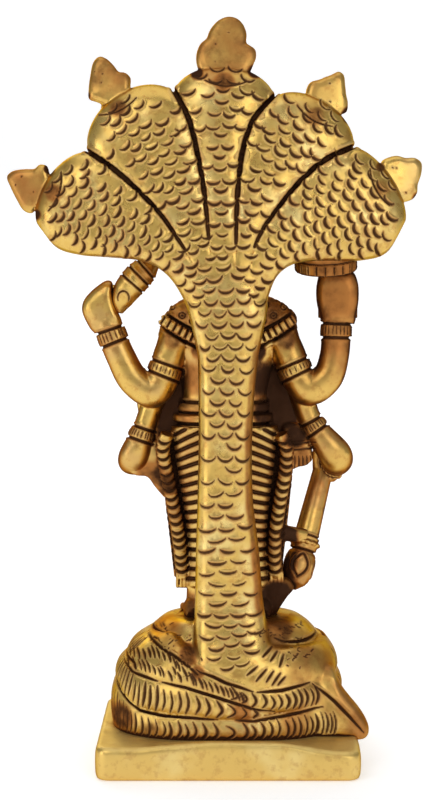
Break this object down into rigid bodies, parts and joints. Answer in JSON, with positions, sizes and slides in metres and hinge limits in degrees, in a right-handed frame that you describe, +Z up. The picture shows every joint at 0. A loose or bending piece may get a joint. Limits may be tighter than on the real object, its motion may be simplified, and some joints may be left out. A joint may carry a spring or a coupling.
{
  "type": "vishnu figure",
  "caption": "Small cast brass figure of Vishnu standing before a many-hooded serpent, on its coils and a plain plinth; it stands by itself as a shelf or shrine ornament.",
  "frame": {"origin": "centre of the plinth's flat underside", "axes": "+Z up to the middle serpent head, -Y the way the figure faces, +X the figure's own left; the serpent's trunk is at +Y"},
  "size_m": [0.0789, 0.042, 0.1402],
  "materials": {
    "brass": "polished cast brass with a dark brown antique patina left in the cuts and recesses"
  },
  "bodies": {
    "root": {"vishnu_figure": "brass"}
  },
  "joints": []
}
